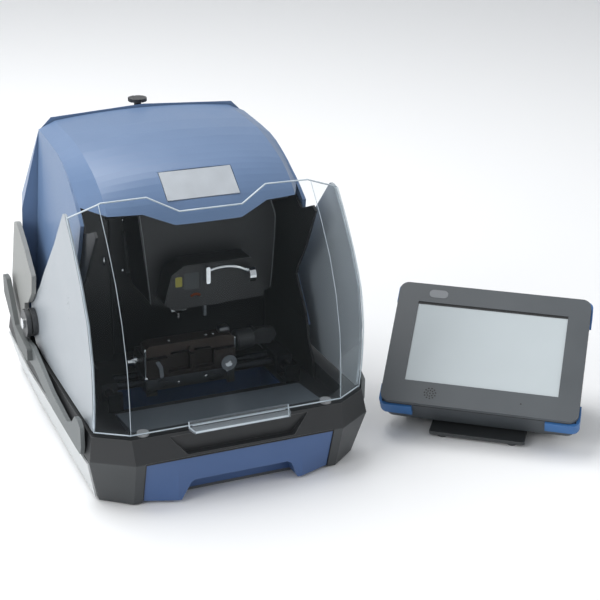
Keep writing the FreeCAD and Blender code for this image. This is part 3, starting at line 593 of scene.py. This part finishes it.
# ------------------------------------------------------------------ console
YAW, TILT = math.radians(-37.5), math.radians(39)
DESK = Matrix.Translation((303.8, -167.6, 90.1)) @ Matrix.Rotation(YAW, 4, "Z") @ Matrix.Rotation(TILT, 4, "X")
DESK_TURN = np.array(DESK.to_3x3())
DESK_AT = np.array(DESK.translation)


def on_desk(points):
    """Console coordinates (across, up the slope, out of the face) to machine coordinates."""
    return np.asarray(points, float) @ DESK_TURN.T + DESK_AT


def dot_ring(centre, radius, start, stop, count):
    """Evenly spaced places round a circle, from one angle up to another."""
    angle = np.linspace(start, stop, count, endpoint=False)
    return (np.stack([np.cos(angle), np.sin(angle)], -1) * radius + centre).tolist()


def console_details(black, pale):
    """Dark seam round the bezel, gasket above the display, speaker dots, microphone and blank badge."""
    loop = rounded(212.2, 148.2, 10, 8)
    loop = np.concatenate([loop, loop[:1]])
    seam, seam_faces = tube(np.column_stack([loop, np.full(len(loop), -6.4)]), 0.75, 8, 1.3)
    strip = [(-83.1, 48.6, -1.28), (83.1, 48.6, -1.28), (83.1, 51.1, -1.28), (-83.1, 51.1, -1.28)]
    gasket, gasket_faces = slab(strip, 0.5, UP, 0.1)
    speaker, microphone = (-53, -61), (45, -61)
    places = dot_ring(speaker, 3.4, 0, 2 * math.pi, 8) + dot_ring(speaker, 6.0, 0.2, 6.48, 11)
    profile = [(POLE, -0.4), (1.0, -0.4), (0.95, 0.1), (POLE, 0.12)]
    dots, dot_faces = joined(*(turned(profile, (*at, 0), UP, 10) for at in places + [speaker, microphone]))
    plate = rounded(21, 10, 4.8)
    badge, badge_faces = slab(np.column_stack([plate, np.zeros(len(plate))]) + [-62, 62.5, 0.02], 0.25, UP, 0.15)
    piece("console_seam", on_desk(seam), seam_faces, "console", "rubber", black)
    piece("display_gasket", on_desk(gasket), gasket_faces, "console", "rubber", black, False)
    piece("speaker_dots", on_desk(dots), dot_faces, "console", "rubber", black, False)
    piece("maker_blank", on_desk(badge), badge_faces, "console", "silver_plate", pale, False)


def drawer_shadow_line(black):
    """Dark shadow line between the drawer front and its opening."""
    corners = [(-100.6, -197.2, 4.2), (-100.6, -211.3, 50.2), (-99.9, -211.8, 51.0), (99.9, -211.8, 51.0),
               (100.6, -211.3, 50.2), (100.6, -197.2, 4.2)]
    run = along(corners, 41)
    piece("drawer_shadow_line", *tube(run, 0.75, 8, 1.0, (0, 1, 0.3)), "base", "rubber", black)


def build():
    """All the pieces that the frame leaves out."""
    dress_frame()
    chrome = FINISHES["chrome"]()
    # Black for real seams, gaskets and speaker dots, and for the painted shadow line round the drawer.
    black = moulded("black gaskets, seams and painted shadow line", srgb(14, 15, 16), 0.6)
    edge = painted_highlight_edge()
    cover_highlight = moulded("cover edge painted highlight", srgb(120, 124, 126), 0.3)
    copper = machined("copper", srgb(120, 62, 40), 0.4)
    amber = moulded("blank label", srgb(142, 136, 44), 0.5)
    slate = moulded("slate label", srgb(52, 56, 58), 0.5)
    shield_edges(edge)
    cheek_edges(edge)
    chamber_details(chrome, cover_highlight, copper, amber, slate)
    clamp_details(chrome, machined("guide block", srgb(120, 122, 124), 0.35), FINISHES["black_knob"]())
    inlet_pins(machined("socket blades", srgb(190, 180, 150), 0.3))
    console_details(black, moulded("blank badge", srgb(120, 124, 128), 0.4))
    drawer_shadow_line(black)


build()


# ------------------------------------------------------------------ room, light, camera
def room():
    """Pale floor that curves up into a pale backdrop."""
    reach, height, bend = 3.2, 2.6, 0.7
    turn = np.linspace(0, math.pi / 2, 17)
    y = np.concatenate([[-4.0], reach - bend + bend * np.sin(turn), [reach]])
    z = np.concatenate([[0.0], bend - bend * np.cos(turn), [height]])
    x = np.array([-5.0, 5.0])
    grid = np.stack([np.repeat(x[None], len(y), 0), np.repeat(y[:, None], 2, 1), np.repeat(z[:, None], 2, 1)], -1)
    faces = [(2 * i, 2 * i + 1, 2 * i + 3, 2 * i + 2) for i in range(len(y) - 1)]
    mesh = bpy.data.meshes.new("floor")
    mesh.from_pydata(grid.reshape(-1, 3).tolist(), [], faces)
    floor = bpy.data.objects.new("floor", mesh)
    bpy.context.scene.collection.objects.link(floor)
    paint = Finish("pale floor")
    paint.set(Base_Color=(0.86, 0.865, 0.87, 1), Roughness=0.55)
    mesh.materials.append(paint.material)
    for face in mesh.polygons:
        face.use_smooth = True


def lamp(name, place, aim, size, power):
    """Rectangular soft box that points at a place."""
    data = bpy.data.lights.new(name, "AREA")
    data.shape = "RECTANGLE"
    data.size, data.size_y = size
    data.energy = power
    light = bpy.data.objects.new(name, data)
    light.location = place
    light.rotation_euler = (Vector(aim) - Vector(place)).to_track_quat("-Z", "Y").to_euler()
    bpy.context.scene.collection.objects.link(light)


def lights():
    """Large soft box overhead, one from the front left and a weak one from the right."""
    aim = (0.1, 0.0, 0.12)
    lamp("top box", (-0.5, 0.7, 2.1), aim, (2.0, 1.6), 42)
    lamp("left box", (-2.1, -0.6, 1.1), aim, (1.4, 1.4), 26)
    lamp("right box", (1.9, -1.3, 1.1), aim, (1.2, 1.2), 6)
    world = bpy.data.worlds.new("studio")
    bpy.context.scene.world = world
    world.use_nodes = True
    world.node_tree.nodes["Background"].inputs[0].default_value = (0.95, 0.97, 1.0, 1)
    world.node_tree.nodes["Background"].inputs[1].default_value = 0.6
    bpy.context.scene.view_settings.view_transform = "Standard"


def camera():
    """Eye level a little above the hood, from the front left, with a long lens."""
    eye = Vector((-0.4676, -1.4026, 0.7271))
    aim = Vector((0.0171, -0.3089, 0.2438))
    roll = math.radians(0.9)
    data = bpy.data.cameras.new("camera")
    data.lens = 86.4
    data.sensor_width = 36
    data.clip_end = 50
    view = bpy.data.objects.new("camera", data)
    turn = (aim - eye).to_track_quat("-Z", "Y").to_matrix() @ Matrix.Rotation(roll, 3, "Z")
    view.matrix_world = Matrix.Translation(eye) @ turn.to_4x4()
    bpy.context.scene.collection.objects.link(view)
    bpy.context.scene.camera = view


room()
lights()
camera()
